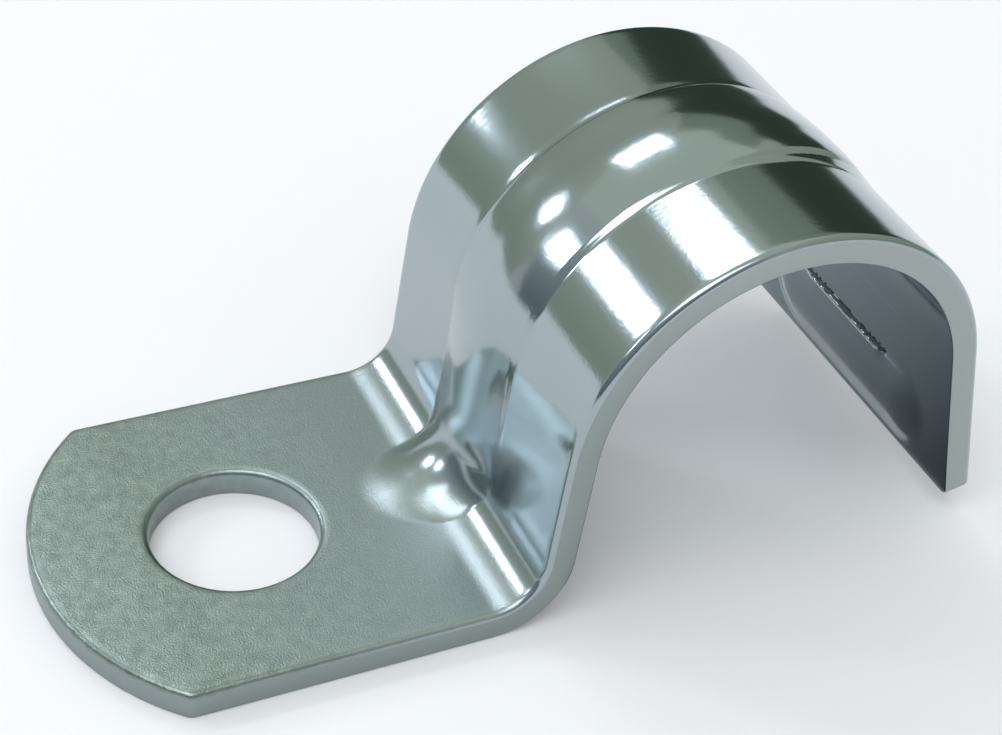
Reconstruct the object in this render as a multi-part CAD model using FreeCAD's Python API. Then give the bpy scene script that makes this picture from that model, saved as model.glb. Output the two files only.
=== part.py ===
import FreeCAD
import Part
import math
import os

# One-hole conduit strap, pressed and folded from one piece of sheet steel. Sizes are in millimetres.
# The origin is the centre of the screw hole on the face that meets the wall. +Z points away from
# the wall, +X runs from the hole towards the saddle and the free leg, and the conduit lies along Y.

# Sheet and blank
sheet_thickness = 1.2
strap_width = 15.9
foot_end_radius = 10.5
foot_corner_radius = 0.6
leg_corner_radius = 0.35
edge_rollover = 0.25

# Screw hole
screw_diameter = 6.35
screw_clearance = 0.4
hole_to_foot_end = 8.0

# Folded line, along the face that meets the wall and the conduit
hole_to_bend = 7.7
bend_radius = 2.1
rise_angle = 85.0
wall_length = 4.9
conduit_diameter = 15.5
conduit_clearance = 0.2
leg_splay = 11.0
leg_gap = 1.2

# Rib pressed outwards along the middle of the strap
rib_width = 5.2
rib_height = 0.5
rib_side_wall = 0.7
rib_tip_from_hole = 6.1
rib_tip_angle = 30.0
rib_bridge_radius = 4.0
rib_sink_angle = 90.0
rib_sink_drop = 1.25
rib_sink_turn = 80.0
rib_clear_angle = 37.0
rib_core = 2.0

# Snap bead pressed inwards across the free leg, torn open along the middle of its upper side
bead_length = 11.3
bead_width = 3.2
bead_height = 0.45
bead_from_leg_end = 2.7
bead_lip_length = 6.7
bead_lip_reach = 1.7
bead_lip_height = 0.4

screw_hole_radius = (screw_diameter + screw_clearance) / 2
saddle_radius = (conduit_diameter + conduit_clearance) / 2
half_width = strap_width / 2


def ahead(heading):
    """The way forward for a heading in degrees, measured from +X towards +Z."""
    angle = math.radians(heading)
    return FreeCAD.Vector(math.cos(angle), 0, math.sin(angle))


def outward(heading):
    """The way out of the strap, square to a heading: the side that faces away from the wall."""
    return ahead(heading + 90)


def straight(length):
    return {"length": length, "radius": 0.0, "turn": 0.0}


def bend(radius, turn):
    """A bend of the line, in degrees: positive turns away from the wall, negative towards it."""
    return {"length": 0.0, "radius": radius, "turn": turn}


def bend_centre(point, heading, run):
    return point + outward(heading) * math.copysign(run["radius"], run["turn"])


def step(point, heading, run):
    """Where a run ends, and its heading there."""
    if run["turn"] == 0:
        return point + ahead(heading) * run["length"], heading
    centre = bend_centre(point, heading, run)
    end_heading = heading + run["turn"]
    reach = math.copysign(run["radius"], run["turn"])
    return centre - outward(end_heading) * reach, end_heading


def offset_edges(point, heading, runs, offset):
    """Edges of the line that keeps one distance outwards from a chain of straight runs and bends."""
    edges = []
    for run in runs:
        end, end_heading = step(point, heading, run)
        first = point + outward(heading) * offset
        last = end + outward(end_heading) * offset
        if run["turn"] == 0:
            edges.append(Part.LineSegment(first, last).toShape())
        else:
            half_run = bend(run["radius"], run["turn"] / 2)
            middle, middle_heading = step(point, heading, half_run)
            middle = middle + outward(middle_heading) * offset
            edges.append(Part.Arc(first, middle, last).toShape())
        point, heading = end, end_heading
    return edges


def foot_start():
    return FreeCAD.Vector(-hole_to_foot_end, 0, 0)


def fold_runs():
    """The face that meets the wall and the conduit: foot, bend, rising wall, saddle and free leg."""
    leg_heading = leg_splay - 90
    clear_heading = rib_clear_angle - 90
    # The saddle is one round, in two runs: beside the rib, and beyond the place where it has sunk.
    runs = [
        straight(hole_to_foot_end + hole_to_bend),
        bend(bend_radius + sheet_thickness, rise_angle),
        straight(wall_length),
        bend(saddle_radius, clear_heading - rise_angle),
        bend(saddle_radius, leg_heading - clear_heading),
    ]
    saddle_end = end_of(runs)[0]
    runs.append(straight((saddle_end.z - leg_gap) / math.cos(math.radians(leg_splay))))
    return runs


def end_of(runs):
    """The point and the heading at the end of a chain that starts at the end of the foot."""
    point, heading = foot_start(), 0.0
    for run in runs:
        point, heading = step(point, heading, run)
    return point, heading


def saddle_centre():
    runs = fold_runs()
    point, heading = end_of(runs[:3])
    return bend_centre(point, heading, runs[3])


def slab(edges, width):
    """A flat side outline, made a solid that reaches equally far to both sides of the middle."""
    wire = Part.Wire(Part.__sortEdges__(edges))
    face = Part.Face(wire)
    face.translate(FreeCAD.Vector(0, -width / 2, 0))
    return face.extrude(FreeCAD.Vector(0, width, 0))


def folded_band():
    """Sheet of one thickness along the folded line, as wide as the strap."""
    runs = fold_runs()
    wall_side = offset_edges(foot_start(), 0.0, runs, 0.0)
    outer_side = offset_edges(foot_start(), 0.0, runs, sheet_thickness)
    end, heading = end_of(runs)
    leg_end = Part.LineSegment(end, end + outward(heading) * sheet_thickness).toShape()
    foot_end = Part.LineSegment(foot_start(), foot_start() + outward(0.0) * sheet_thickness).toShape()
    return slab(wall_side + [leg_end] + outer_side + [foot_end], strap_width)


def foot_corner_x():
    """Where the round end of the foot meets the straight sides."""
    arc_centre = foot_end_radius - hole_to_foot_end
    return arc_centre - math.sqrt(foot_end_radius ** 2 - half_width ** 2)


def round_foot_end(band):
    """Keep what lies inside the plan outline, whose end is one shallow arc across the foot."""
    far = end_of(fold_runs())[0].x + 4 * sheet_thickness
    near_left = FreeCAD.Vector(foot_corner_x(), -half_width, 0)
    near_right = FreeCAD.Vector(foot_corner_x(), half_width, 0)
    far_left = FreeCAD.Vector(far, -half_width, 0)
    far_right = FreeCAD.Vector(far, half_width, 0)
    outline = Part.Wire([
        Part.Arc(near_left, foot_start(), near_right).toShape(),
        Part.LineSegment(near_right, far_right).toShape(),
        Part.LineSegment(far_right, far_left).toShape(),
        Part.LineSegment(far_left, near_left).toShape(),
    ])
    height = 2 * (saddle_centre().z + saddle_radius)
    return band.common(Part.Face(outline).extrude(FreeCAD.Vector(0, 0, height)))


def edges_near(solid, points):
    """The edges whose middle lies at one of the points."""
    found = []
    for edge in solid.Edges:
        middle = edge.valueAt((edge.FirstParameter + edge.LastParameter) / 2)
        if any(middle.distanceToPoint(point) < 0.01 for point in points):
            found.append(edge)
    return found


def round_corners(band):
    """Round the two corners of the foot and the two of the free leg, across the sheet."""
    end, heading = end_of(fold_runs())
    leg_middle = end + outward(heading) * (sheet_thickness / 2)
    foot_middle = FreeCAD.Vector(foot_corner_x(), 0, sheet_thickness / 2)
    sides = [FreeCAD.Vector(0, half_width, 0), FreeCAD.Vector(0, -half_width, 0)]
    band = band.makeFillet(foot_corner_radius, edges_near(band, [foot_middle + side for side in sides]))
    return band.makeFillet(leg_corner_radius, edges_near(band, [leg_middle + side for side in sides]))


def on_outer_side(face, outer_wire):
    """True for a face that lies on the outer side of the folded sheet, all over."""
    for vertex in face.Vertexes:
        point = FreeCAD.Vector(vertex.X, 0, vertex.Z)
        if outer_wire.distToShape(Part.Vertex(point))[0] > 0.001:
            return False
    return True


def roll_sheared_edges(band):
    """The punch pulls the rim of the outer side down, so every sheared edge there is rounded."""
    outer_wire = Part.Wire(offset_edges(foot_start(), 0.0, fold_runs(), sheet_thickness))
    outer_faces = [face for face in band.Faces if on_outer_side(face, outer_wire)]
    rim = []
    for face in outer_faces:
        for edge in face.Edges:
            uses = sum(1 for other in outer_faces for shared in other.Edges if shared.isSame(edge))
            if uses == 1:
                rim.append(edge)
    return band.makeFillet(edge_rollover, rim)


def punched_band():
    """The folded strip with its outline, its screw hole and its rounded edges."""
    band = round_foot_end(folded_band())
    hole = Part.makeCylinder(screw_hole_radius, sheet_thickness)
    band = round_corners(band.cut(hole))
    return roll_sheared_edges(band)


def space_inside():
    """Everything on the side of the wall and the conduit, where the pressed metal may not reach."""
    edges = offset_edges(foot_start(), 0.0, fold_runs(), 0.0)
    leg_end = end_of(fold_runs())[0]
    depth = FreeCAD.Vector(0, 0, -strap_width)
    below_leg = FreeCAD.Vector(leg_end.x, 0, 0) + depth
    below_foot = foot_start() + depth
    edges.append(Part.LineSegment(leg_end, below_leg).toShape())
    edges.append(Part.LineSegment(below_leg, below_foot).toShape())
    edges.append(Part.LineSegment(below_foot, foot_start()).toShape())
    return slab(edges, strap_width)


def rib_line():
    """The crest of the rib: out of the foot, across the bend, up the wall and over the saddle.

    Past the top of the saddle the crest follows a tighter round, so it sinks slowly into the shoulder.
    """
    runs = fold_runs()
    crest = sheet_thickness + rib_height
    wall_foot, wall_heading = end_of(runs[:2])
    wall_foot = wall_foot + outward(wall_heading) * crest
    tip = FreeCAD.Vector(rib_tip_from_hole, 0, sheet_thickness)
    # The rising line from the tip meets the crest line of the wall at the corner.
    turn = math.radians(wall_heading - rib_tip_angle)
    to_wall = wall_foot - tip
    climb = to_wall.dot(outward(wall_heading)) / ahead(rib_tip_angle).dot(outward(wall_heading))
    corner = tip + ahead(rib_tip_angle) * climb
    tangent = rib_bridge_radius * math.tan(turn / 2)
    sunk = sheet_thickness
    start = tip - ahead(rib_tip_angle) * sunk
    wall_top = end_of(runs[:3])[0] + outward(wall_heading) * crest
    up_wall = (wall_top - corner).dot(ahead(wall_heading)) - tangent
    over_saddle = rib_sink_angle - 90 - wall_heading
    line = [
        straight(climb - tangent + sunk),
        bend(rib_bridge_radius, wall_heading - rib_tip_angle),
        straight(up_wall),
        bend(saddle_radius + crest, over_saddle),
        bend(saddle_radius + crest - rib_sink_drop, -rib_sink_turn),
    ]
    return start, line


def domed_section(point, heading, width, dome_radius, depth):
    """A section square to the line: a domed top whose crest is on the line, and upright sides."""
    half = width / 2
    sagitta = dome_radius - math.sqrt(dome_radius ** 2 - half ** 2)
    side = FreeCAD.Vector(0, half, 0)
    shoulder = point - outward(heading) * sagitta
    floor = point - outward(heading) * depth
    return Part.Face(Part.Wire([
        Part.Arc(shoulder - side, point, shoulder + side).toShape(),
        Part.LineSegment(shoulder + side, floor + side).toShape(),
        Part.LineSegment(floor + side, floor - side).toShape(),
        Part.LineSegment(floor - side, shoulder - side).toShape(),
    ]))


def sweep_along_rib(width, dome_radius, below_crest):
    """Carry a domed section along the rib's line, or along one that keeps a distance below it."""
    point, line = rib_line()
    heading = rib_tip_angle
    pieces = []
    for run in line:
        start = point - outward(heading) * below_crest
        section = domed_section(start, heading, width, dome_radius, rib_core)
        if run["turn"] == 0:
            pieces.append(section.extrude(ahead(heading) * run["length"]))
        else:
            centre = bend_centre(point, heading, run)
            pieces.append(section.revolve(centre, FreeCAD.Vector(0, -1, 0), run["turn"]))
        point, heading = step(point, heading, run)
    return pieces[0].multiFuse(pieces[1:]).removeSplitter()


def press_rib(band):
    """Raise the rib on the outer side and leave its groove on the inner side."""
    half = rib_width / 2
    dome_radius = (half ** 2 + rib_height ** 2) / (2 * rib_height)
    raised = sweep_along_rib(rib_width, dome_radius, 0.0).cut(space_inside())
    groove_width = rib_width - 2 * rib_side_wall
    groove = sweep_along_rib(groove_width, dome_radius - sheet_thickness, sheet_thickness)
    return band.fuse(raised).cut(groove)


def capsule(centre, radius, length):
    """A round bar along Y with ball ends."""
    reach = length / 2
    straight_half = reach - radius
    side = FreeCAD.Vector(0, 1, 0)
    radial = FreeCAD.Vector(radius, 0, 0)
    slope = FreeCAD.Vector(radius * math.sqrt(0.5), 0, 0)
    bulge = straight_half + radius * math.sqrt(0.5)
    profile = Part.Wire([
        Part.LineSegment(centre + side * reach, centre - side * reach).toShape(),
        Part.Arc(centre - side * reach, centre - side * bulge + slope,
                 centre - side * straight_half + radial).toShape(),
        Part.LineSegment(centre - side * straight_half + radial,
                         centre + side * straight_half + radial).toShape(),
        Part.Arc(centre + side * straight_half + radial, centre + side * bulge + slope,
                 centre + side * reach).toShape(),
    ])
    return Part.Face(profile).revolve(centre, side, 360)


def torn_lip(on_leg, heading):
    """The upper side of the bead, where the sheet has torn and stands as a step."""
    depth = outward(heading) * (sheet_thickness / 2)
    rise = outward(heading) * bead_lip_height
    reach = ahead(heading) * bead_lip_reach
    corners = [on_leg + depth, on_leg - rise, on_leg - rise - reach, on_leg + depth - reach]
    edges = []
    for first, last in zip(corners, corners[1:] + corners[:1]):
        edges.append(Part.LineSegment(first, last).toShape())
    return slab(edges, bead_lip_length)


def press_snap_bead(band):
    """Push a rounded bead in towards the conduit, with its hollow on the outer side of the leg."""
    end, heading = end_of(fold_runs())
    half = bead_width / 2
    bar_radius = (half ** 2 + bead_height ** 2) / (2 * bead_height)
    bar_depth = bar_radius - bead_height
    on_leg = end - ahead(heading) * bead_from_leg_end
    centre = on_leg + outward(heading) * bar_depth
    bar_length = bead_length - 2 * half + 2 * bar_radius
    raised = capsule(centre, bar_radius, bar_length)
    # Only the part of the bar on the inner side of the middle of the sheet is kept.
    block_size = 4 * bar_radius + bead_length
    block = Part.makeBox(block_size, block_size, block_size)
    block.translate(FreeCAD.Vector(0, -block_size / 2, -block_size / 2))
    block.rotate(FreeCAD.Vector(0, 0, 0), FreeCAD.Vector(0, 1, 0), -(heading + 90))
    block.translate(on_leg + outward(heading) * (sheet_thickness / 2))
    hollow_radius = bar_radius - sheet_thickness
    hollow = capsule(centre, hollow_radius, bar_length - 2 * sheet_thickness)
    raised = raised.cut(block).fuse(torn_lip(on_leg, heading))
    return band.fuse(raised).cut(hollow)


def conduit_strap():
    return press_snap_bead(press_rib(punched_band())).Solids[0]


os.makedirs("parts", exist_ok=True)
conduit_strap().exportStep("parts/strap.step")
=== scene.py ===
# %% [markdown]
# # A one-hole conduit strap, pressed from sheet steel and zinc plated
# The strap holds a conduit against a wall with one screw. A press makes the real one in four
# steps: a strip is cut and punched, a rib and a bead are pressed into it, it is folded round,
# and it is plated. This lesson takes the same four steps, because bright plating mirrors its
# room, and only a fine, even mesh mirrors without wobbles. The CAD part gives the box and sizes.

# %% The frame and the units
import math

import bmesh
import bpy
import numpy as np
from mathutils import Matrix, Vector


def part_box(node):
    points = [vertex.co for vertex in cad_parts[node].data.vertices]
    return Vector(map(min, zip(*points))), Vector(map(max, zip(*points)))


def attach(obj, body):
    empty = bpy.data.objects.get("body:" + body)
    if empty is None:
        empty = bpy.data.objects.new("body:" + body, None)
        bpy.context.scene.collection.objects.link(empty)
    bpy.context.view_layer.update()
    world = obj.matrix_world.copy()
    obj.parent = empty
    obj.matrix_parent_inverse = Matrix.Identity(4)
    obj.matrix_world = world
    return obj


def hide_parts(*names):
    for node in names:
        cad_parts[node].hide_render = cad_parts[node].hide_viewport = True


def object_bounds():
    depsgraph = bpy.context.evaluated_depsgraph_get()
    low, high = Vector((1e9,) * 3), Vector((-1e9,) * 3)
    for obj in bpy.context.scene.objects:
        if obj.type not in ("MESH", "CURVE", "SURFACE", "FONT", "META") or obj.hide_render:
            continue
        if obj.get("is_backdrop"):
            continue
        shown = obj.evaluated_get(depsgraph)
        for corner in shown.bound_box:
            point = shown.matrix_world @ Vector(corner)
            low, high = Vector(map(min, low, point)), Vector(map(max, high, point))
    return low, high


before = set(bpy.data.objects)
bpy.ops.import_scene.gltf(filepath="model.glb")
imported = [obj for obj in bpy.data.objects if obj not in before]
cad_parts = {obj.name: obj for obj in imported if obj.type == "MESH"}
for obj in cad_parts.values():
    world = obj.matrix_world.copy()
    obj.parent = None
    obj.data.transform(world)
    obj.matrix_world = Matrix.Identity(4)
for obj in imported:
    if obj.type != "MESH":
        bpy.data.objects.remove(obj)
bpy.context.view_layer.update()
strap_low, strap_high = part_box("strap")
MM = 0.001

# %% [markdown]
# ## The folded line
# Seen from the side, the strap is one line of constant thickness: foot, bend, wall, saddle, leg.
# Each place on it has two numbers: how far along the sheet it is, and how far out from the face
# that meets the wall and the conduit. The mesh is made flat in those numbers and folded last,
# as the press does, so that every ring and row of the mesh follows the bends by itself.

# %% Sizes of the folded line, in millimetres
sheet = 1.2
foot_length = 15.7
bend_radius = 3.3  # to the face that meets the wall
rise_angle = 85.0
wall_length = 4.9
saddle_radius = 7.85
leg_splay = 11.0
leg_gap = 1.2
foot_start = strap_low.x / MM
half_width = strap_high.y / MM


def heading_vectors(heading):
    """The ways ahead and outwards for a heading in degrees, as x and z."""
    angle = np.radians(heading)
    return (np.cos(angle), np.sin(angle)), (-np.sin(angle), np.cos(angle))


def after(x, z, heading, length, radius):
    """Where a run ends. A positive radius turns away from the wall, a negative one towards it."""
    (ahead_x, ahead_z), (out_x, out_z) = heading_vectors(heading)
    if math.isinf(radius):
        return x + ahead_x * length, z + ahead_z * length, heading
    end_heading = heading + math.degrees(length / radius)
    end_x, end_z = heading_vectors(end_heading)[1]
    return x + (out_x - end_x) * radius, z + (out_z - end_z) * radius, end_heading


saddle_turn = rise_angle + 90 - leg_splay
shapes = [
    (foot_length, math.inf),
    (math.radians(rise_angle) * bend_radius, bend_radius),
    (wall_length, math.inf),
    (math.radians(saddle_turn) * saddle_radius, -saddle_radius),
]
runs = []
start, place = 0.0, (foot_start, 0.0, 0.0)
for length, radius in shapes:
    runs.append((start, place, radius))
    start, place = start + length, after(*place, length, radius)
leg_length = (place[1] - leg_gap) / math.cos(math.radians(leg_splay))
runs.append((start, place, math.inf))
bend_start, wall_start, saddle_start, leg_start = (run[0] for run in runs[1:])
blank_length = leg_start + leg_length
print("blank, mm:", round(blank_length, 2), "long; leg", round(leg_length, 2))

# %% Fold and unfold
def fold(along, out):
    """x and z of places on the sheet, once it is folded."""
    along = np.maximum(along, 0.0)
    x, z = np.zeros_like(along), np.zeros_like(along)
    for run_start, (run_x, run_z, heading), radius in runs:
        here = along >= run_start
        past = along[here] - run_start
        (ahead_x, ahead_z), (out_x, out_z) = heading_vectors(heading)
        if math.isinf(radius):
            x[here] = run_x + ahead_x * past + out_x * out[here]
            z[here] = run_z + ahead_z * past + out_z * out[here]
        else:
            now_x, now_z = heading_vectors(heading + np.degrees(past / radius))[1]
            x[here] = run_x + out_x * radius - now_x * (radius - out[here])
            z[here] = run_z + out_z * radius - now_z * (radius - out[here])
    return x, z


def unfold(x, z, number):
    """Along and out of places that lie over one run."""
    run_start, (run_x, run_z, heading), radius = runs[number]
    (ahead_x, ahead_z), (out_x, out_z) = heading_vectors(heading)
    if math.isinf(radius):
        return (run_start + (x - run_x) * ahead_x + (z - run_z) * ahead_z,
                (x - run_x) * out_x + (z - run_z) * out_z)
    side = math.copysign(1.0, radius)
    away_x, away_z = run_x + out_x * radius - x, run_z + out_z * radius - z
    turned = np.degrees(np.arctan2(-away_x * side, away_z * side)) - heading
    return run_start + np.radians(turned) * radius, radius - side * np.hypot(away_x, away_z)


crown_along = saddle_start + math.radians(rise_angle) * saddle_radius
crown_x, crown_z = fold(np.array([crown_along]), np.array([sheet]))
print("crown of the saddle, mm:", round(float(crown_x[0]), 2), round(float(crown_z[0]), 2))

# %% [markdown]
# ## The blank
# The strip is sheared to width, its end is cut to a shallow arc, and the screw hole is punched.
# The foot could be a Boolean of a box and a cylinder, but that leaves long thin faces. Here the
# outline is spun and drawn with single vertices, and a ring of its edges is pulled in onto the
# circle of the hole, so rings of clean quads run round it. They lie closer near a sheared edge.

# %% Rows near a sheared edge
rollover = 0.25
burr = 0.06
foot_end_radius = 10.5
foot_corner_radius = 0.6
leg_corner_radius = 0.35
hole_radius = 3.375
hole_along = -foot_start
strip_start = 12.6
field_inset = 0.45
rim_insets = [rollover * (1 - math.cos(math.radians(angle))) for angle in range(0, 91, 18)]
rim_insets.append(field_inset)


def spaced(stops):
    """Places from the first stop to the last, with about the given step in each stretch."""
    places = [stops[0][0]]
    for (first, step), (last, _) in zip(stops, stops[1:]):
        count = max(1, round((last - first) / step))
        places += [first + (last - first) * k / count for k in range(1, count + 1)]
    return places


# Each stop is a place and the step that follows it. The corner of the rib has the finest rows.
across_half = spaced([(0.0, 0.2), (1.4, 0.12), (1.8, 0.07), (2.38, 0.045), (2.66, 0.12),
                      (3.7, 0.25), (half_width - field_inset, 0)])
across_inner = [-y for y in across_half[:0:-1]] + across_half
across_rim = [half_width - inset for inset in rim_insets[-2::-1]]
across_all = [-y for y in across_rim[::-1]] + across_inner + across_rim
print("rows across:", len(across_all), "rim insets:", [round(inset, 3) for inset in rim_insets])

# %% Draw with single vertices
def draw_to(bm, vertex, along, across):
    """Pull a new vertex out of another, which draws an edge between them."""
    new = bmesh.ops.extrude_vert_indiv(bm, verts=[vertex])["verts"][0]
    new.co = (along, across, 0)
    return new


def draw_arc(bm, vertex, centre, degrees, steps):
    """Spin a vertex about a centre and give back the vertex where the arc ends."""
    made = bmesh.ops.spin(bm, geom=[vertex], cent=(*centre, 0), axis=(0, 0, 1), dvec=(0, 0, 0),
                          angle=math.radians(degrees), steps=steps, use_merge=False)
    return [item for item in made["geom_last"] if isinstance(item, bmesh.types.BMVert)][0]


corner_rise = half_width - foot_corner_radius
corner_reach = math.sqrt((foot_end_radius - foot_corner_radius) ** 2 - corner_rise ** 2)
corner_along = foot_end_radius - corner_reach
arc_half_angle = math.degrees(math.atan2(corner_rise, foot_end_radius - corner_along))
side_steps, corner_steps, arc_steps = 34, 8, 72


def draw_foot_outline(bm, inset):
    """One line round the foot from corner to corner of the strip, set in from the sheared edge."""
    side = half_width - inset
    known = set(bm.edges)
    vertex = bm.verts.new((strip_start, -side, 0))
    for k in range(1, side_steps + 1):
        along = strip_start + (corner_along - strip_start) * k / side_steps
        vertex = draw_to(bm, vertex, along, -side)
    vertex = draw_arc(bm, vertex, (corner_along, -corner_rise), arc_half_angle - 90, corner_steps)
    vertex = draw_arc(bm, vertex, (foot_end_radius, 0), -2 * arc_half_angle, arc_steps)
    vertex = draw_arc(bm, vertex, (corner_along, corner_rise), arc_half_angle - 90, corner_steps)
    for k in range(side_steps - 1, -1, -1):
        along = strip_start + (corner_along - strip_start) * k / side_steps
        vertex = draw_to(bm, vertex, along, side)
    return [edge for edge in bm.edges if edge not in known], vertex


print("end of the foot: an arc of", round(2 * arc_half_angle, 1), "degrees")

# %% The foot: rings round the hole, and rings along the outline
def bridge_in_order(bm, loops):
    """Fill the band between each loop of edges and the next one with faces."""
    for first, second in zip(loops, loops[1:]):
        bmesh.ops.bridge_loops(bm, edges=first + second)


blank = bmesh.new()
outlines = []
for inset in rim_insets:
    outline, last_vertex = draw_foot_outline(blank, inset)
    outlines.append(outline)
bridge_in_order(blank, outlines)
known = set(blank.edges)
for across in across_inner[-2:0:-1]:
    last_vertex = draw_to(blank, last_vertex, strip_start, across)
first_vertex = min((v for e in outlines[-1] for v in e.verts),
                   key=lambda v: (v.co - Vector((strip_start, across_inner[0], 0))).length)
blank.edges.new((last_vertex, first_vertex))
field_edge = outlines[-1] + [edge for edge in blank.edges if edge not in known]
hole_centre = Vector((hole_along, 0, 0))


def pull_ring(bm, ring, radius):
    """Extrude a ring of edges and lay the copy on a circle round the screw hole."""
    made = bmesh.ops.extrude_edge_only(bm, edges=ring)["geom"]
    new = {item for item in made if isinstance(item, bmesh.types.BMVert)}
    for vertex in new:
        vertex.co = hole_centre + (vertex.co - hole_centre).normalized() * radius
    return [item for item in made
            if isinstance(item, bmesh.types.BMEdge) and new.issuperset(item.verts)]


outside = {vertex for edge in field_edge for vertex in edge.verts}
ring = pull_ring(blank, field_edge, hole_radius + field_inset)
inside = {vertex for edge in ring for vertex in edge.verts}
spokes = [edge for edge in blank.edges
          if any(v in inside for v in edge.verts) and any(v in outside for v in edge.verts)]
rings_in_field = 9
bmesh.ops.subdivide_edges(blank, edges=spokes, cuts=rings_in_field, use_grid_fill=True)
for inset in rim_insets[-2::-1]:
    ring = pull_ring(blank, ring, hole_radius + inset)
print("foot:", len(blank.faces), "faces,", len(field_edge), "spokes")

# %% [markdown]
# ## The strip
# The rest of the blank is a plain strip. A grid would space all its columns alike. Here one column
# of edges is drawn and pulled along the sheet in steps, short where the sheet will be bent, marked
# or torn and longer where it stays plain. The corners of the free end are rounded by moving rows.

# %% The strip: one column pulled along the sheet
leg_rim = [blank_length - leg_corner_radius * (1 - math.sin(math.radians(angle)))
           for angle in range(0, 91, 9)]
bead_lip_from_end, fold_mark_on_leg = 4.3, 0.45
bead_lip = blank_length - bead_lip_from_end
fold_mark = leg_start + fold_mark_on_leg
weld_distance = 1e-3
# Columns are finest over the bend, at the mark of the fold and at the lip of the bead.
columns = spaced([(strip_start, 0.2), (strip_start + 1.4, 0.12), (wall_start + 0.9, 0.18),
                  (saddle_start, 0.22), (fold_mark - 0.15, 0.05), (fold_mark + 0.15, 0.18),
                  (bead_lip - 0.36, 0.03), (bead_lip + 0.12, 0.15), (leg_rim[0], 0)]) + leg_rim[1:]
known = set(blank.edges)
vertex = blank.verts.new((strip_start, across_all[0], 0))
for across in across_all[1:]:
    vertex = draw_to(blank, vertex, strip_start, across)
column = [edge for edge in blank.edges if edge not in known]
for here, there in zip(columns, columns[1:]):
    made = bmesh.ops.extrude_edge_only(blank, edges=column)["geom"]
    bmesh.ops.translate(blank, vec=(there - here, 0, 0),
                        verts=[item for item in made if isinstance(item, bmesh.types.BMVert)])
    column = [item for item in made if isinstance(item, bmesh.types.BMEdge) and
              all(abs(v.co.x - there) < weld_distance / 10 for v in item.verts)]
bmesh.ops.remove_doubles(blank, verts=blank.verts, dist=weld_distance)
for vertex in blank.verts:
    past = vertex.co.x - (blank_length - leg_corner_radius)
    if past > 0:
        drop = leg_corner_radius - math.sqrt(max(0.0, leg_corner_radius ** 2 - past ** 2))
        vertex.co.y *= 1 - drop / half_width
print("blank:", len(blank.faces), "faces,", len(columns), "columns")

# %% [markdown]
# ## The thickness
# Sheet metal has one thickness all over. A Solidify modifier could give it to the folded strap,
# but then the sheared rims couldn't be shaped while the sheet is flat. So the flat faces are
# extruded once. The side walls are faces of their own and take the material of a cut edge. The
# wall of the punched hole keeps the plating, because a punch leaves it smooth.

# %% Give the blank its thickness
plated_slot, sheared_slot, torn_and_shaded_slot = 0, 1, 2
made = bmesh.ops.extrude_face_region(blank, geom=blank.faces[:], use_keep_orig=True)["geom"]
bmesh.ops.translate(blank, vec=(0, 0, sheet),
                    verts=[item for item in made if isinstance(item, bmesh.types.BMVert)])
bmesh.ops.recalc_face_normals(blank, faces=blank.faces)
for face in blank.faces:
    in_hole = (face.calc_center_median().xy - hole_centre.xy).length < hole_radius + 0.05
    is_side_wall = abs(face.normal.z) < 0.5
    face.material_index = sheared_slot if is_side_wall and not in_hole else plated_slot
    face.smooth = True
print("open edges:", sum(1 for edge in blank.edges if not edge.is_manifold))

# %% [markdown]
# ## Press and shear
# The shear pulls the upper rim down by a quarter of a millimetre and leaves a fine burr below.
# The press lifts a rib and a bead out of the sheet. Sculpting could draw them, but a height over
# the flat sheet keeps its size everywhere: one formula moves all the rows of the mesh, and a soft
# maximum rounds the corner where a form meets the sheet.

# %% Helpers for heights
def soft_max(first, second, width):
    """The larger of two heights, with the corner between them rounded over a width."""
    gap = np.clip((first - second) / width, -1, 1)
    return np.where(first - second > width, first, second + width * (gap + 1) ** 2 / 4)


def sag(across, radius, half, slope):
    """How far a dome lies under its crest, and past its half width a steep side."""
    inside = np.minimum(across, half)
    return radius - np.sqrt(radius ** 2 - inside ** 2) + np.maximum(across - half, 0) * slope


def distance_to_shear(along, across):
    """How far a place on the blank is from the nearest sheared edge."""
    side = np.abs(across)
    to_foot_end = foot_end_radius - np.hypot(along - foot_end_radius, across)
    nearest = np.minimum(half_width - side, to_foot_end)
    nearest = np.where(along < foot_end_radius, nearest, half_width - side)
    nearest = np.minimum(nearest, np.hypot(along - hole_along, across) - hole_radius)
    nearest = np.minimum(nearest, blank_length - along)
    back, rise = corner_along - along, side - corner_rise
    in_corner = (back > 0) & (rise > back * math.tan(math.radians(arc_half_angle)))
    nearest = np.where(in_corner, foot_corner_radius - np.hypot(back, rise), nearest)
    past, rise = along - blank_length + leg_corner_radius, side - half_width + leg_corner_radius
    in_corner = (past > 0) & (rise > 0)
    return np.where(in_corner, leg_corner_radius - np.hypot(past, rise), nearest)


def rounded_rim(distance, radius):
    """How far a rounded rim lies under the face."""
    left = np.clip(radius - distance, 0, radius)
    return radius - np.sqrt(np.maximum(radius ** 2 - left ** 2, 0))


def ramp(value, start, end):
    """0 before the start, 1 past the end, and smooth between them."""
    part = np.clip((value - start) / (end - start), 0, 1)
    return part * part * (3 - 2 * part)


print("drop of the sheared rim at its edge, mm:", float(rounded_rim(0.0, rollover)))

# %% [markdown]
# ## The rib
# The rib makes the thin strap stiff. It starts as a round nose on the foot, leans over the bend as
# a gusset, and sinks away past the crown of the saddle. Its crest is drawn in the side view, as a
# straight rise and an arc that meets the wall, and then unfolded, so that it can be given as a
# height over the flat sheet. Across the rib, a dome falls away to both sides of the crest.

# %% The crest of the rib
rib_width, rib_height, rib_side_wall = 5.2, 0.5, 0.7
rib_tip, rib_tip_angle, rib_bridge_radius = 6.4, 30.0, 3.2
rib_end_angle, rib_end_radius, rib_end_turn = 90.0, 8.3, 75
rib_lead_in = 1.5
rise_points, arc_points = 80, 40


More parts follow.
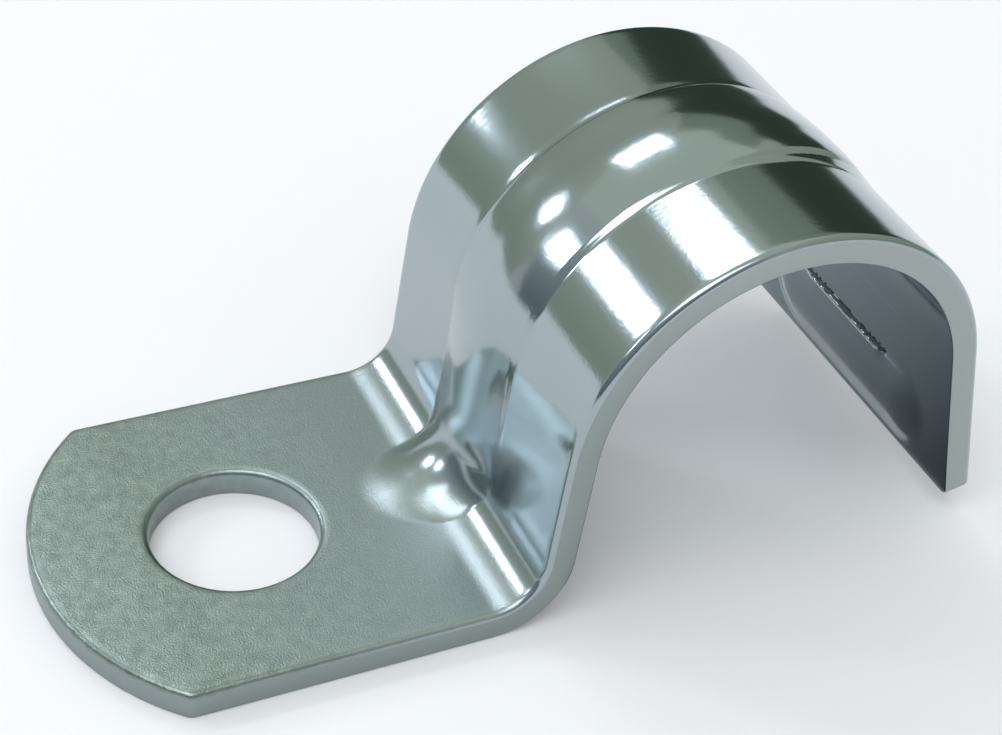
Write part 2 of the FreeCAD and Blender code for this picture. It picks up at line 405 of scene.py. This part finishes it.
def rib_line(offset):
    """Along and out of the rib's crest, or of a line that keeps a distance under it."""
    wall_x, wall_z = runs[2][1][:2]
    (tip_ahead_x, tip_ahead_z), (tip_out_x, tip_out_z) = heading_vectors(rib_tip_angle)
    out_x, out_z = heading_vectors(rise_angle)[1]
    crest = sheet + rib_height
    to_wall_x, to_wall_z = wall_x + out_x * crest - rib_tip, wall_z + out_z * crest - sheet
    climb = (to_wall_x * out_x + to_wall_z * out_z) / (tip_ahead_x * out_x + tip_ahead_z * out_z)
    tangent = rib_bridge_radius * math.tan(math.radians(rise_angle - rib_tip_angle) / 2)
    rising = np.linspace(-rib_lead_in, climb - tangent, rise_points)
    x, z = rib_tip + tip_ahead_x * rising, sheet + tip_ahead_z * rising
    arc_headings = np.linspace(rib_tip_angle, rise_angle, arc_points)[1:]
    turned = heading_vectors(arc_headings)[1]
    x = np.append(x, x[-1] + (tip_out_x - turned[0]) * rib_bridge_radius)
    z = np.append(z, z[-1] + (tip_out_z - turned[1]) * rib_bridge_radius)
    headings = np.radians(np.append(np.full(rise_points, rib_tip_angle), arc_headings))
    x, z = x + np.sin(headings) * offset, z - np.cos(headings) * offset
    along, out = unfold(x, z, 0)
    over_bend, over_wall = unfold(x, z, 1), unfold(x, z, 2)
    on_bend, on_wall = x > runs[1][1][0], over_wall[0] > wall_start
    along, out = np.where(on_bend, over_bend[0], along), np.where(on_bend, over_bend[1], out)
    along, out = np.where(on_wall, over_wall[0], along), np.where(on_wall, over_wall[1], out)
    return along, out, crest - offset


def rib_crest(along, offset):
    """How far out the rib's crest is, all the way along the sheet."""
    line_along, line_out, level = rib_line(offset)
    end_along = saddle_start + math.radians(rise_angle + 90 - rib_end_angle) * saddle_radius
    end_reach = rib_end_radius - offset
    turned = np.radians(np.linspace(0, rib_end_turn, arc_points))
    up = saddle_radius + level - end_reach + end_reach * np.cos(turned)
    sideways = end_reach * np.sin(turned)
    height, swing = np.hypot(up, sideways) - saddle_radius, np.arctan2(sideways, up)
    return np.interp(along, np.concatenate([line_along, end_along + swing * saddle_radius]),
                     np.concatenate([line_out, height]))


print("crest over the bend, mm out:", round(float(rib_crest(bend_start + 2.0, 0.0)), 2))

# %% The corners of the rib, and the mark of its die
rib_tip_along = hole_along + rib_tip
nose_fillet, wall_fillet, rear_fillet = 0.6, 0.5, 0.3
front_crease, saddle_crease = 0.3, 0.42
die_edge, die_step, die_step_grows = 2.52, 0.03, 0.07


def rounding(along, across):
    """How widely the corner between the rib and the sheet is rounded: least on the front side."""
    on_wall = ramp(along, rib_tip_along - 0.9, bend_start + 1.8)
    on_rear = ramp(along, wall_start + 1.4, saddle_start + 4.5) * ramp(across, 0.2, 2.4)
    soft = nose_fillet + (wall_fillet - nose_fillet) * on_wall + rear_fillet * on_rear
    later = ramp(along, saddle_start - 1.5, saddle_start + 4.5)
    crisp = front_crease + (saddle_crease - front_crease) * later
    front = ramp(-across, 0.7, 2.2) * ramp(along, bend_start + 3.3, wall_start + 0.9)
    return soft * (1 - front) + crisp * front


def die_mark(along, across):
    """The small step that the die leaves where the front of the rib meets the sheet."""
    before_leg = leg_start - along
    line = np.interp(before_leg, [4.5, 6.7, 8.4, 9.8, 11.0], [1.3, 1.87, 2.18, 2.42, die_edge])
    height = die_step * ramp(along, saddle_start - 1, saddle_start + 1)
    height += die_step_grows * ramp(-before_leg, -12.5, -10)
    inside = ramp(-across, -0.1, 0.4) * ramp(line + across, -0.045, 0.045)
    return height * inside * ramp(before_leg, 4.5, 7.5) * ramp(line + across, 1.6, 0.2)


print("rounding on the nose, mm:", float(rounding(rib_tip_along, 0.0)))

# %% The upper face
gusset_dome, gusset_spread = 3.1, 0.35
rib_side_slope = 2.2
rib_dome = ((rib_width / 2) ** 2 + rib_height ** 2) / (2 * rib_height)
band_bow, bow_edge, bow_reach = 0.13, 7.4, 4.2
bead_length, bead_width, bead_height, bead_from_end = 11.3, 3.2, 0.45, 2.7
bead_half = bead_width / 2
bead_dome = (bead_half ** 2 + bead_height ** 2) / (2 * bead_height)
bead_run_out = 0.88
hollow_slope, hollow_rounding = 2.0, 0.15


def dome_of_rib(along):
    """Radius and half width of the dome: tight over the gusset, and shallow from the saddle on."""
    past_gusset = ramp(along, bend_start + 2.3, saddle_start - 0.5)
    radius = gusset_dome + (rib_dome - gusset_dome) * past_gusset
    spread = gusset_spread * (1 - ramp(along, bend_start + 2.8, saddle_start - 1.5))
    return radius, rib_width / 2 + spread


def distance_to_bead(along, across):
    """How far a place is from the bead's middle line."""
    past = along - blank_length + bead_from_end
    # The bead runs out slowly on the side towards the leg's end.
    past = np.where(past > 0, past * bead_run_out, past)
    return np.hypot(past, np.maximum(np.abs(across) - bead_length / 2 + bead_half, 0))


def upper_face(along, across):
    """How far out the upper face lies after the press and the shear."""
    dome, half = dome_of_rib(along)
    crest = rib_crest(along, 0.0) - sag(np.abs(across), dome, half, rib_side_slope)
    height = soft_max(crest, sheet, rounding(along, across)) + die_mark(along, across)
    bow = band_bow * (np.clip(bow_edge - across, 0, bow_reach) / bow_reach) ** 2
    bow *= ramp(across, 1.0, 3.4) * ramp(leg_start - along, 5, 10)
    height += bow * ramp(along, saddle_start - 1.5, saddle_start + 2.5)
    from_bead = distance_to_bead(along, across)
    hollow = bead_height - sag(from_bead, bead_dome - sheet, bead_half * 0.75, hollow_slope)
    height -= soft_max(hollow, 0, hollow_rounding)
    return height - rounded_rim(distance_to_shear(along, across), rollover)


print("dome, mm:", round(rib_dome, 2), "over the saddle,", gusset_dome, "over the gusset")

# %% [markdown]
# ## The bead and its torn lip
# The bead across the leg is pressed inwards and catches the conduit. Its punch half sheared the
# sheet along the upper side, so a ragged lip stands there. The lip could be a cut with loose faces,
# but a steep ramp on the bead keeps the mesh whole. It needs close columns, and its faces get a
# material of their own. A fine line above it shows where the leg was folded.

# %% The lower face
bead_lip_length, bead_lip_height = 6.7, 0.26
fold_mark_depth, fold_mark_half, fold_mark_reach = 0.02, 0.08, 4.8
groove_rounding, bead_rounding, bead_side_slope = 0.3, 0.55, 1.0


def lower_face(along, across):
    """How far out the lower face lies: the groove under the rib, the bead and the burr."""
    side = np.abs(across)
    dome, half = dome_of_rib(along)
    groove_half = np.minimum(half - rib_side_wall, 0.92 * (dome - sheet))
    groove = rib_crest(along, sheet) - sag(side, dome - sheet, groove_half, rib_side_slope)
    from_bead = distance_to_bead(along, across)
    bead = bead_height - sag(from_bead, bead_dome, bead_half, bead_side_slope)
    bead = soft_max(bead, 0, bead_rounding)
    torn = 0.02 * np.sin(across * 12.0)
    lip = ramp(along - bead_lip - torn, -0.2, 0.05) * ramp(bead_lip_length / 2 - side, 0, 0.8)
    bead_side = along < blank_length - bead_from_end
    bead += np.where(bead_side, np.maximum(bead_lip_height - bead, 0) * lip, 0)
    mark = fold_mark_depth * ramp(fold_mark_half - np.abs(along - fold_mark), 0, fold_mark_half)
    mark *= ramp(-across, -0.4, 0.4) * ramp(fold_mark_reach - side, 0, 0.6)
    height = soft_max(groove, 0, groove_rounding) - bead - mark
    return height + rounded_rim(distance_to_shear(along, across), burr)


def pressed(along, across, upper):
    """How far out each place lies on the pressed sheet, on its upper or lower face."""
    return np.where(upper, upper_face(along, across), lower_face(along, across))


print("bead, mm:", bead_length, "long,", bead_width, "wide,", bead_height, "deep")

# %% [markdown]
# ## The fold
# The press bends the sheet last. The Simple Deform modifier bends a mesh too, but only by one
# curve, and this sheet has five runs, two of them curved and turning opposite ways. So each vertex
# is sent through the fold function.

# %% Make the mesh and fold it
mesh = bpy.data.meshes.new("zinc_plated_strap")
blank.to_mesh(mesh)
blank.free()
flat = np.zeros(len(mesh.vertices) * 3)
mesh.vertices.foreach_get("co", flat)
flat = flat.reshape(-1, 3)
along, across = flat[:, 0], flat[:, 1]
on_upper_face = flat[:, 2] > sheet / 2
x, z = fold(along, pressed(along, across, on_upper_face))
mesh.vertices.foreach_set("co", (np.column_stack([x, across, z]) * MM).ravel())
tear_from, tear_to = bead_lip - 0.3, bead_lip - 0.05
ragged = 0.06 * np.sin(across * 17.0) + 0.04 * np.sin(across * 41.0)
on_lip = (along > tear_from + ragged) & (along < tear_to + ragged / 4)
on_lip &= (np.abs(across) < bead_lip_length / 2) & ~on_upper_face
# Faces of the tear take the dark material, which paints the shade in the tear.
for polygon in mesh.polygons:
    if all(on_lip[k] for k in polygon.vertices):
        polygon.material_index = torn_and_shaded_slot
mesh.update()
strap = bpy.data.objects.new("zinc_plated_strap", mesh)
bpy.context.scene.collection.objects.link(strap)
triangles = sum(len(polygon.vertices) - 2 for polygon in mesh.polygons)
print("strap:", len(mesh.vertices), "vertices,", triangles, "triangles")
print("on the torn lip:", int(on_lip.sum()), "vertices")

# %% [markdown]
# ## Materials
# A metal has no colour of its own under its shine: its base colour only dims and tints what it
# mirrors. Three finishes lie on the strap, and each is named for what it is and how it was made.

# %% Helpers for materials
def linear(hex_colour):
    """An sRGB hex colour as the linear colour that a socket takes."""
    values = [int(hex_colour[k:k + 2], 16) / 255 for k in (1, 3, 5)]
    return (*(v / 12.92 if v <= 0.04045 else ((v + 0.055) / 1.055) ** 2.4 for v in values), 1.0)


def add_node(tree, kind, settings, links):
    """Add a node, set its properties and sockets, and link its inputs."""
    node = tree.nodes.new(kind)
    for name, value in settings.items():
        if hasattr(node, name):
            setattr(node, name, value)
        else:
            node.inputs[name].default_value = value
    for name, source in links.items():
        tree.links.new(source, node.inputs[name])
    return node


def new_material(name):
    """A new material and its node tree, emptied."""
    material = bpy.data.materials.new(name)
    material.use_nodes = True
    material.node_tree.nodes.clear()
    return material, material.node_tree


print("white, linear:", linear("#ffffff"))

# %% [markdown]
# ## Bright zinc plating
# The strap is plated in a zinc bath with brighteners and passivated clear. That gives the eye a
# bluish mirror, a little blurred, with the faint ripple of rolled sheet. The foot came out frosted:
# duller and grainy. Towards its end the foot's colour also turns darker, greener and patchy, with
# paler and darker patches. An image could carry the frost, but noise in Object coordinates needs
# no unwrapping and keeps its size in millimetres. The real grain is finer than 0.07 mm, and is
# drawn as coarse as it needs to show.

# %% Plating: where the foot is frosted
plating, tree = new_material("bright_zinc_plating_over_pressed_steel")
place = add_node(tree, "ShaderNodeTexCoord", {}, {})
apart = add_node(tree, "ShaderNodeSeparateXYZ", {}, {"Vector": place.outputs["Object"]})
frost_end_x, frost_gone_x = 8.5 * MM, 9.15 * MM
frost_end_z, frost_gone_z = 1.35 * MM, 2.3 * MM
before_bend = add_node(tree, "ShaderNodeMapRange",
                       {"From Min": frost_gone_x, "From Max": frost_end_x,
                        "interpolation_type": "SMOOTHSTEP"}, {"Value": apart.outputs["X"]})
low_down = add_node(tree, "ShaderNodeMapRange",
                    {"From Min": frost_gone_z, "From Max": frost_end_z,
                     "interpolation_type": "SMOOTHSTEP"}, {"Value": apart.outputs["Z"]})
frosted = add_node(tree, "ShaderNodeMath", {"operation": "MULTIPLY"},
                   {0: before_bend.outputs["Result"], 1: low_down.outputs["Result"]})
print("the frost fades between X, mm:", round(frost_end_x / MM, 2), round(frost_gone_x / MM, 2))

# %% Plating: ripple and grain
ripple, grain = 0.2 * MM, 0.07 * MM
skin = add_node(tree, "ShaderNodeTexNoise", {"Scale": 1 / ripple, "Detail": 2.0},
                {"Vector": place.outputs["Object"]})
frost = add_node(tree, "ShaderNodeTexNoise", {"Scale": 1 / grain, "Detail": 1.0},
                 {"Vector": place.outputs["Object"]})
grainy = add_node(tree, "ShaderNodeMapRange", {"From Min": 7.5 * MM, "From Max": -3.0 * MM,
                                               "To Min": 0.5, "To Max": 1.0},
                  {"Value": apart.outputs["X"]})
deep = add_node(tree, "ShaderNodeMath", {"operation": "MULTIPLY"},
                {0: frosted.outputs["Value"], 1: grainy.outputs["Result"]})
waved = add_node(tree, "ShaderNodeBump", {"Distance": 0.02 * MM, "Strength": 0.12},
                 {"Height": skin.outputs["Fac"]})
bumped = add_node(tree, "ShaderNodeBump", {"Distance": 0.014 * MM},
                  {"Height": frost.outputs["Fac"], "Strength": deep.outputs["Value"],
                   "Normal": waved.outputs["Normal"]})
print("ripple and grain, mm:", round(ripple / MM, 2), round(grain / MM, 2))

# %% Plating: shine and colour
mirror_rough, satin_rough, frost_rough = 0.13, 0.18, 0.32
satin = add_node(tree, "ShaderNodeMapRange", {"From Min": 7.0 * MM, "From Max": 4.0 * MM,
                                              "To Min": mirror_rough, "To Max": satin_rough},
                 {"Value": apart.outputs["Z"]})
rough = add_node(tree, "ShaderNodeMapRange", {"To Max": frost_rough},
                 {"Value": frosted.outputs["Value"], "To Min": satin.outputs["Result"]})
# Towards the foot's end the colour turns darker, greener and patchy.
patch = 0.45 * MM
dull = add_node(tree, "ShaderNodeMapRange", {"From Min": 8.0 * MM, "From Max": -3.0 * MM},
                {"Value": apart.outputs["X"]})
patches = add_node(tree, "ShaderNodeTexNoise", {"Scale": 1 / patch, "Detail": 4.0},
                   {"Vector": place.outputs["Object"]})
mottled = add_node(tree, "ShaderNodeMixRGB",
                   {"Color1": linear("#6d7874"), "Color2": linear("#a1ada8")},
                   {"Fac": patches.outputs["Fac"]})
tint = add_node(tree, "ShaderNodeMixRGB", {"Color1": linear("#a2adb0")},
                {"Fac": dull.outputs["Result"], "Color2": mottled.outputs["Color"]})
zinc = add_node(tree, "ShaderNodeBsdfPrincipled", {"Metallic": 1.0},
                {"Base Color": tint.outputs["Color"], "Roughness": rough.outputs["Result"],
                 "Normal": bumped.outputs["Normal"]})
add_node(tree, "ShaderNodeOutputMaterial", {}, {"Surface": zinc.outputs["BSDF"]})
mesh.materials.append(plating)
print(plating.name, "has", len(tree.nodes), "nodes")

# %% [markdown]
# ## The sheared edge
# A shear cuts a third of the sheet and tears the rest. The same zinc lies over the tear, but it
# can't shine there, so the eye sees an even, matt grey with shallow waves about 0.35 mm long. The
# colour is a little darker along the foot than along the saddle.

# %% Zinc over a sheared edge
sheared, tree = new_material("zinc_plating_over_a_sheared_edge")
place = add_node(tree, "ShaderNodeTexCoord", {}, {})
shear_wave = 0.35 * MM
tear = add_node(tree, "ShaderNodeTexNoise", {"Scale": 1 / shear_wave, "Detail": 4.0},
                {"Vector": place.outputs["Object"]})
bumped = add_node(tree, "ShaderNodeBump", {"Distance": 0.03 * MM, "Strength": 0.35},
                  {"Height": tear.outputs["Fac"]})
apart = add_node(tree, "ShaderNodeSeparateXYZ", {}, {"Vector": place.outputs["Object"]})
# Towards the foot the edge's colour turns a little darker.
on_foot = add_node(tree, "ShaderNodeMapRange", {"From Min": 16.0 * MM, "From Max": 9.0 * MM},
                   {"Value": apart.outputs["X"]})
tint = add_node(tree, "ShaderNodeMixRGB",
                {"Color1": linear("#a9b0af"), "Color2": linear("#96a09f")},
                {"Fac": on_foot.outputs["Result"]})
zinc = add_node(tree, "ShaderNodeBsdfPrincipled", {"Metallic": 1.0, "Roughness": 0.46},
                {"Base Color": tint.outputs["Color"], "Normal": bumped.outputs["Normal"]})
add_node(tree, "ShaderNodeOutputMaterial", {}, {"Surface": zinc.outputs["BSDF"]})
mesh.materials.append(sheared)
print(sheared.name, "has", len(tree.nodes), "nodes")

# %% [markdown]
# ## The torn lip
# In the tear of the bead the plating is thin and the steel rough, and the tear lies in deep shade,
# so its dark base colour is partly painted shade. A black colour would look like paint, so it is a
# dark metal with a coarse bump, 0.15 mm from grain to grain.

# %% Torn steel
torn_steel_painted_shade, tree = new_material("torn_steel_with_painted_shade")
place = add_node(tree, "ShaderNodeTexCoord", {}, {})
steel_grain = 0.15 * MM
tear = add_node(tree, "ShaderNodeTexNoise", {"Scale": 1 / steel_grain, "Detail": 2.0},
                {"Vector": place.outputs["Object"]})
bumped = add_node(tree, "ShaderNodeBump", {"Distance": 0.05 * MM}, {"Height": tear.outputs["Fac"]})
# The dark base colour is partly painted shade in the tear.
steel = add_node(tree, "ShaderNodeBsdfPrincipled",
                 {"Metallic": 1.0, "Roughness": 0.5, "Base Color": linear("#4a5054")},
                 {"Normal": bumped.outputs["Normal"]})
add_node(tree, "ShaderNodeOutputMaterial", {}, {"Surface": steel.outputs["BSDF"]})
mesh.materials.append(torn_steel_painted_shade)
print(torn_steel_painted_shade.name, "has", len(tree.nodes), "nodes")

# %% The strap takes the place of the CAD node
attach(strap, "root")
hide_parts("strap")
print(strap.name, "rides on root with", len(mesh.materials), "materials")

# %% [markdown]
# ## The room
# A mirror shows its room, so the room is built with care: a grey-green wall behind, shaded towards
# a dark corner on the right, dim walls round the camera, and three windows. An environment picture
# would be quicker, but no image is used here, and cards can be moved one by one until each
# reflection sits right. They stand about a metre away, and only the metal sees them. Under the arch
# lies a small dark card, because the inner side of the leg shows deep shade.

# %% Places in the room
strap_middle = (strap_low + strap_high) / 2


def towards(azimuth, elevation):
    """A direction: azimuth from straight behind (+Y) towards +X, and elevation over the floor."""
    turn, rise = math.radians(azimuth), math.radians(elevation)
    level = math.cos(rise)
    return Vector((math.sin(turn) * level, math.cos(turn) * level, math.sin(rise)))


def facing(azimuth, elevation, distance):
    """The place and turn of a panel that faces the strap."""
    direction = towards(azimuth, elevation)
    turn = direction.to_track_quat("Z", "Y").to_matrix().to_4x4()
    return Matrix.Translation(strap_middle + direction * distance) @ turn


def span(degrees, distance):
    """The width that spans an angle at a distance."""
    return 2 * distance * math.tan(math.radians(degrees) / 2)


print("a window of 8 degrees at 0.8 m is", round(span(8, 0.8), 3), "m wide")

# %% Lights and cards
card_glow, room_glow = 1.12, 1.06


def soft_light(name, azimuth, elevation, distance, wide, high, radiance, colour):
    """A panel light that spans wide by high degrees, with a given brightness of its face."""
    light = bpy.data.lights.new(name, "AREA")
    light.shape = "RECTANGLE"
    light.size, light.size_y = span(wide, distance), span(high, distance)
    light.energy = radiance * math.pi * light.size * light.size_y
    light.color = linear(colour)[:3]
    lamp = bpy.data.objects.new(name, light)
    lamp.matrix_world = facing(azimuth, elevation, distance)
    bpy.context.scene.collection.objects.link(lamp)


def card(name, matrix, wide, high, axis, first_colour, last_colour):
    """A glowing card, shaded along one axis, that only the metal mirrors."""
    panel = bmesh.new()
    bmesh.ops.create_grid(panel, x_segments=1, y_segments=1, size=0.5)
    bmesh.ops.scale(panel, vec=(wide, high, 1), verts=panel.verts)
    bmesh.ops.transform(panel, matrix=matrix, verts=panel.verts)
    card_mesh = bpy.data.meshes.new(name)
    panel.to_mesh(card_mesh)
    panel.free()
    material, tree = new_material(name)
    place = add_node(tree, "ShaderNodeTexCoord", {}, {})
    apart = add_node(tree, "ShaderNodeSeparateXYZ", {}, {"Vector": place.outputs["Generated"]})
    shade = add_node(tree, "ShaderNodeMixRGB",
                     {"Color1": linear(first_colour), "Color2": linear(last_colour)},
                     {"Fac": apart.outputs[axis]})
    glow = add_node(tree, "ShaderNodeEmission", {"Strength": card_glow},
                    {"Color": shade.outputs["Color"]})
    add_node(tree, "ShaderNodeOutputMaterial", {}, {"Surface": glow.outputs["Emission"]})
    card_mesh.materials.append(material)
    card_object = bpy.data.objects.new(name, card_mesh)
    card_object.visible_camera = False
    card_object.visible_diffuse = False
    card_object.visible_shadow = False
    bpy.context.scene.collection.objects.link(card_object)
    card_object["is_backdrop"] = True


print("glow of the cards and of the room:", card_glow, room_glow)

# %% Windows, walls and the sky
# Name, azimuth, elevation, distance in metres, degrees wide and high, radiance, colour.
windows = [
    ("window_left", -40, 26, 0.8, 8, 9, 20.0, "#eaf0ff"),
    ("window_far_left", -62, 28, 0.8, 7, 12, 10.0, "#eaf0ff"),
    ("window_high", -3, 51, 0.8, 20, 12, 4.4, "#eef3ff"),
    ("skylight", -132, 60, 0.9, 50, 30, 2.6, "#f6fbff"),
]
for window in windows:
    soft_light(*window)
# Name, azimuth, elevation, distance in metres, degrees wide and high, colours low and high.
room = [
    ("room_wall_behind", 0, 24, 1.0, 110, 52, "#98a494", "#bfc4b8"),
    ("wall_shade_right", 36, 36, 0.96, 22, 20, "#869384", "#94a091"),
    ("room_wall_right", 105, 32, 1.1, 90, 66, "#98a494", "#c1c6b8"),
    ("ceiling", 0, 78, 1.15, 74, 74, "#cfd6ca", "#cfd6ca"),
    ("dark_corner_right", 40, 13, 0.9, 44, 34, "#38453b", "#38453b"),
    ("dim_wall_left", -95, 20, 1.0, 70, 54, "#405664", "#c2c8c6"),
    ("dim_wall_front", -160, 20, 1.0, 70, 54, "#405664", "#b4babc"),
]
for name, azimuth, elevation, distance, wide, high, low_colour, high_colour in room:
    card(name, facing(azimuth, elevation, distance), span(wide, distance), span(high, distance),
         "Z", low_colour, high_colour)
under_arch = Matrix.Translation(Vector((20, 2, 0.1)) * MM)
card("shade_under_the_arch", under_arch, 16 * MM, 22 * MM, "Y", "#09121a", "#a8b0b6")

world = bpy.data.worlds.new("pale_room")
bpy.context.scene.world = world
world.use_nodes = True
world.node_tree.nodes["Background"].inputs["Color"].default_value = linear("#c9cbcb")
world.node_tree.nodes["Background"].inputs["Strength"].default_value = room_glow

print("room:", len(room), "walls and shades,", len(windows), "lights")

# %% [markdown]
# ## The floor
# The strap stands on pale paper, which is matt and catches the soft shadow. It lies a hair under
# the foot, because two faces in one place flicker.

# %% The floor
floor_gap, floor_half = 0.02, 1.5
floor_sheet = bmesh.new()
bmesh.ops.create_grid(floor_sheet, x_segments=1, y_segments=1, size=floor_half)
bmesh.ops.translate(floor_sheet, vec=(0, 0, -floor_gap * MM), verts=floor_sheet.verts)
floor_mesh = bpy.data.meshes.new("pale_floor")
floor_sheet.to_mesh(floor_mesh)
floor_sheet.free()
material, tree = new_material("matt_white_paper")
paper = add_node(tree, "ShaderNodeBsdfPrincipled",
                 {"Base Color": linear("#f4f4f4"), "Roughness": 0.9}, {})
add_node(tree, "ShaderNodeOutputMaterial", {}, {"Surface": paper.outputs["BSDF"]})
floor_mesh.materials.append(material)
floor = bpy.data.objects.new("pale_floor", floor_mesh)
bpy.context.scene.collection.objects.link(floor)
floor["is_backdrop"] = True
print(floor.name, "is staged")

# %% [markdown]
# ## The camera
# The photograph looks down at 38 degrees from the foot's left. Its place, lens and roll were
# fitted to the outline of the strap.

# %% The camera
camera_place = Vector((-20.709, -60.136, 60.267)) * MM
camera_azimuth, camera_drop, camera_roll = 27.898, 38.3244, 5.7917
lens_in_widths = 2.170845
view = towards(camera_azimuth, -camera_drop)
camera_data = bpy.data.cameras.new("camera")
camera_data.lens = lens_in_widths * camera_data.sensor_width
camera_data.clip_start = 5 * MM
camera = bpy.data.objects.new("camera", camera_data)
turn = view.to_track_quat("-Z", "Y").to_matrix().to_4x4()
roll = Matrix.Rotation(math.radians(camera_roll), 4, "Z")
camera.matrix_world = Matrix.Translation(camera_place) @ turn @ roll
bpy.context.scene.collection.objects.link(camera)
bpy.context.scene.camera = camera
bpy.context.scene.view_settings.view_transform = "Standard"
print("lens, mm:", round(camera_data.lens, 1))

# %% Sizes, then the last line
low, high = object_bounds()
print("visual box, mm:", [round(value / MM, 2) for value in (*low, *high)])
